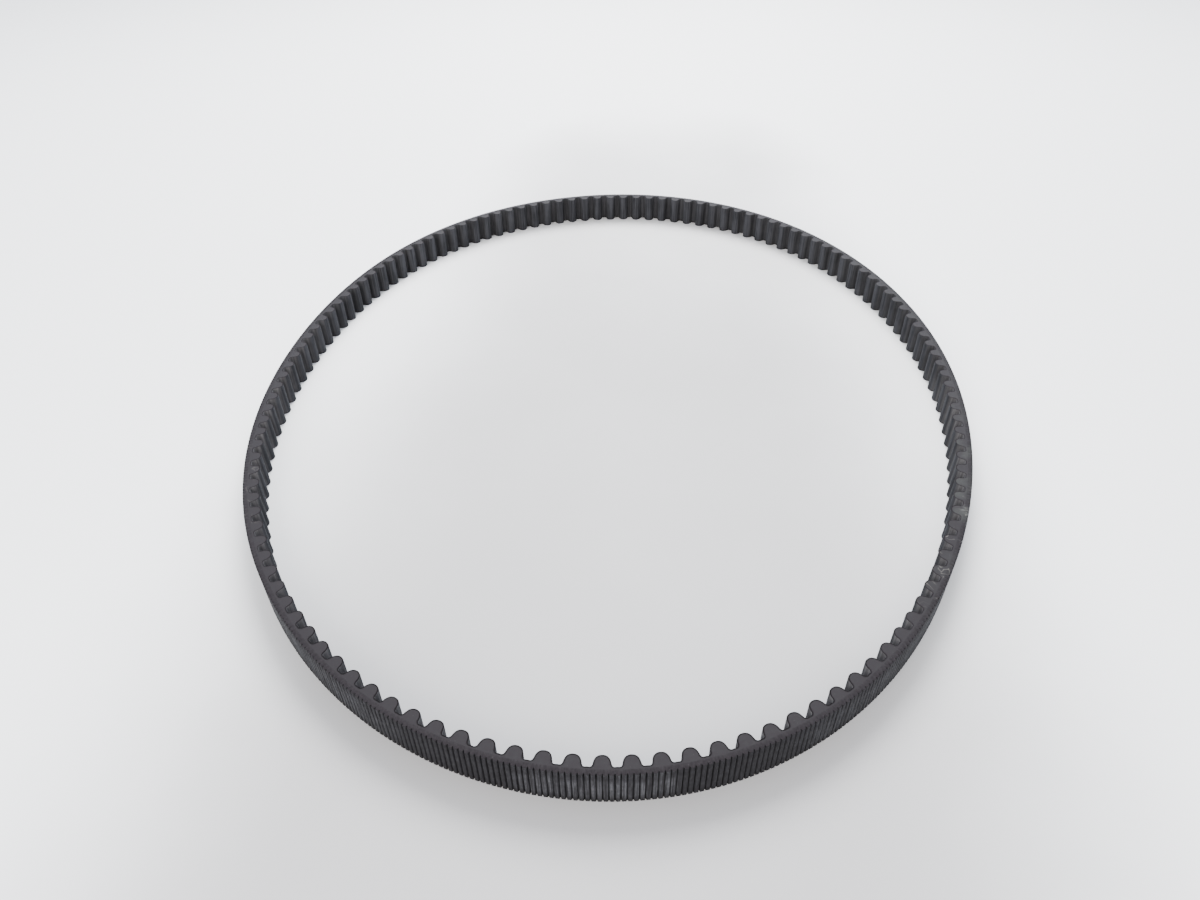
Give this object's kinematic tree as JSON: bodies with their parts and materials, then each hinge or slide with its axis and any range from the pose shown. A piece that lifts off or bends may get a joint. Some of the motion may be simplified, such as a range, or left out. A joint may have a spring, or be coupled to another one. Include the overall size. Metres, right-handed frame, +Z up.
{
  "type": "timing belt",
  "caption": "Endless toothed drive belt with rounded teeth inside and a finely grooved back, lying on its edge in a relaxed oval.",
  "frame": {"origin": "centre of the oval's box, in the plane of the lower edge", "axes": "+Z up across the belt's width, Y along the oval's long axis with the narrower end at -Y, X along its short axis"},
  "size_m": [0.5118, 0.6594, 0.024],
  "materials": {
    "backing_rubber": "matt moulded rubber with fine cross grooves, lightly dusted",
    "tooth_rubber": "matt cut rubber edge",
    "tensile_cord": "treated aramid cord, sealed in the rubber",
    "tooth_facing": "treated nylon weave with light vertical streaks"
  },
  "bodies": {
    "front": {"backing_front": "backing_rubber", "cords_front": "tensile_cord", "teeth_front": "tooth_rubber", "facing_front": "tooth_facing"},
    "right_1": {"backing_right_1": "backing_rubber", "cords_right_1": "tensile_cord", "teeth_right_1": "tooth_rubber", "facing_right_1": "tooth_facing"},
    "right_2": {"backing_right_2": "backing_rubber", "cords_right_2": "tensile_cord", "teeth_right_2": "tooth_rubber", "facing_right_2": "tooth_facing"},
    "right_3": {"backing_right_3": "backing_rubber", "cords_right_3": "tensile_cord", "teeth_right_3": "tooth_rubber", "facing_right_3": "tooth_facing"},
    "right_4": {"backing_right_4": "backing_rubber", "cords_right_4": "tensile_cord", "teeth_right_4": "tooth_rubber", "facing_right_4": "tooth_facing"},
    "right_5": {"backing_right_5": "backing_rubber", "cords_right_5": "tensile_cord", "teeth_right_5": "tooth_rubber", "facing_right_5": "tooth_facing"},
    "right_6": {"backing_right_6": "backing_rubber", "cords_right_6": "tensile_cord", "teeth_right_6": "tooth_rubber", "facing_right_6": "tooth_facing"},
    "right_7": {"backing_right_7": "backing_rubber", "cords_right_7": "tensile_cord", "teeth_right_7": "tooth_rubber", "facing_right_7": "tooth_facing"},
    "left_1": {"backing_left_1": "backing_rubber", "cords_left_1": "tensile_cord", "teeth_left_1": "tooth_rubber", "facing_left_1": "tooth_facing"},
    "left_2": {"backing_left_2": "backing_rubber", "cords_left_2": "tensile_cord", "teeth_left_2": "tooth_rubber", "facing_left_2": "tooth_facing"},
    "left_3": {"backing_left_3": "backing_rubber", "cords_left_3": "tensile_cord", "teeth_left_3": "tooth_rubber", "facing_left_3": "tooth_facing"},
    "left_4": {"backing_left_4": "backing_rubber", "cords_left_4": "tensile_cord", "teeth_left_4": "tooth_rubber", "facing_left_4": "tooth_facing"},
    "left_5": {"backing_left_5": "backing_rubber", "cords_left_5": "tensile_cord", "teeth_left_5": "tooth_rubber", "facing_left_5": "tooth_facing"},
    "left_6": {"backing_left_6": "backing_rubber", "cords_left_6": "tensile_cord", "teeth_left_6": "tooth_rubber", "facing_left_6": "tooth_facing"},
    "left_7": {"backing_left_7": "backing_rubber", "cords_left_7": "tensile_cord", "teeth_left_7": "tooth_rubber", "facing_left_7": "tooth_facing"}
  },
  "joints": [
    {"name": "flex_right_1", "type": "hinge", "parent": "front", "child": "right_1", "pos_m": [0.07078, -0.31648, 0.012], "axis": [0, 0, 1], "range_deg": [-8.6, 9], "stiffness_Nm_per_rad": 0.05},
    {"name": "flex_right_2", "type": "hinge", "parent": "right_1", "child": "right_2", "pos_m": [0.17991, -0.23242, 0.012], "axis": [0, 0, 1], "range_deg": [-1.72, 1.8], "stiffness_Nm_per_rad": 0.05},
    {"name": "flex_right_3", "type": "hinge", "parent": "right_2", "child": "right_3", "pos_m": [0.23789, -0.10583, 0.012], "axis": [0, 0, 1], "range_deg": [-6.86, 6.56], "stiffness_Nm_per_rad": 0.05},
    {"name": "flex_right_4", "type": "hinge", "parent": "right_3", "child": "right_4", "pos_m": [0.25277, 0.01885, 0.012], "axis": [0, 0, 1], "range_deg": [-9.55, 9.12], "stiffness_Nm_per_rad": 0.05},
    {"name": "flex_right_5", "type": "hinge", "parent": "right_4", "child": "right_5", "pos_m": [0.22989, 0.14222, 0.012], "axis": [0, 0, 1], "range_deg": [-5.3, 5.07], "stiffness_Nm_per_rad": 0.05},
    {"name": "flex_right_6", "type": "hinge", "parent": "right_5", "child": "right_6", "pos_m": [0.16618, 0.24997, 0.012], "axis": [0, 0, 1], "range_deg": [-1.77, 1.85], "stiffness_Nm_per_rad": 0.05},
    {"name": "flex_right_7", "type": "hinge", "parent": "right_6", "child": "right_7", "pos_m": [0.06144, 0.31728, 0.012], "axis": [0, 0, 1], "range_deg": [-8.66, 9.06], "stiffness_Nm_per_rad": 0.05},
    {"name": "flex_left_1", "type": "hinge", "parent": "front", "child": "left_1", "pos_m": [-0.0531, -0.31689, 0.012], "axis": [0, 0, 1], "range_deg": [-8.69, 8.3], "stiffness_Nm_per_rad": 0.05},
    {"name": "flex_left_2", "type": "hinge", "parent": "left_1", "child": "left_2", "pos_m": [-0.16771, -0.2395, 0.012], "axis": [0, 0, 1], "range_deg": [-2.23, 2.13], "stiffness_Nm_per_rad": 0.05},
    {"name": "flex_left_3", "type": "hinge", "parent": "left_2", "child": "left_3", "pos_m": [-0.23461, -0.11769, 0.012], "axis": [0, 0, 1], "range_deg": [-6.94, 7.26], "stiffness_Nm_per_rad": 0.05},
    {"name": "flex_left_4", "type": "hinge", "parent": "left_3", "child": "left_4", "pos_m": [-0.25292, 0.00651, 0.012], "axis": [0, 0, 1], "range_deg": [-8.96, 9.38], "stiffness_Nm_per_rad": 0.05},
    {"name": "flex_left_5", "type": "hinge", "parent": "left_4", "child": "left_5", "pos_m": [-0.23598, 0.13092, 0.012], "axis": [0, 0, 1], "range_deg": [-5.32, 5.57], "stiffness_Nm_per_rad": 0.05},
    {"name": "flex_left_6", "type": "hinge", "parent": "left_5", "child": "left_6", "pos_m": [-0.1779, 0.24172, 0.012], "axis": [0, 0, 1], "range_deg": [-2.51, 2.4], "stiffness_Nm_per_rad": 0.05},
    {"name": "flex_left_7", "type": "hinge", "parent": "left_6", "child": "left_7", "pos_m": [-0.0761, 0.31351, 0.012], "axis": [0, 0, 1], "range_deg": [-8.79, 8.4], "stiffness_Nm_per_rad": 0.05}
  ],
  "couplings": [
    {"joint": "flex_right_2", "follows": "flex_right_1", "ratio": 0.1992},
    {"joint": "flex_right_3", "follows": "flex_right_1", "ratio": -0.7613},
    {"joint": "flex_right_4", "follows": "flex_right_1", "ratio": -1.0598},
    {"joint": "flex_right_5", "follows": "flex_right_1", "ratio": -0.5882},
    {"joint": "flex_right_6", "follows": "flex_right_1", "ratio": 0.2048},
    {"joint": "flex_right_7", "follows": "flex_right_1", "ratio": 1.0053},
    {"joint": "flex_left_1", "follows": "flex_right_1", "ratio": -0.9644},
    {"joint": "flex_left_2", "follows": "flex_right_1", "ratio": -0.2462},
    {"joint": "flex_left_3", "follows": "flex_right_1", "ratio": 0.8057},
    {"joint": "flex_left_4", "follows": "flex_right_1", "ratio": 1.0408},
    {"joint": "flex_left_5", "follows": "flex_right_1", "ratio": 0.6178},
    {"joint": "flex_left_6", "follows": "flex_right_1", "ratio": -0.2781},
    {"joint": "flex_left_7", "follows": "flex_right_1", "ratio": -0.9756}
  ]
}
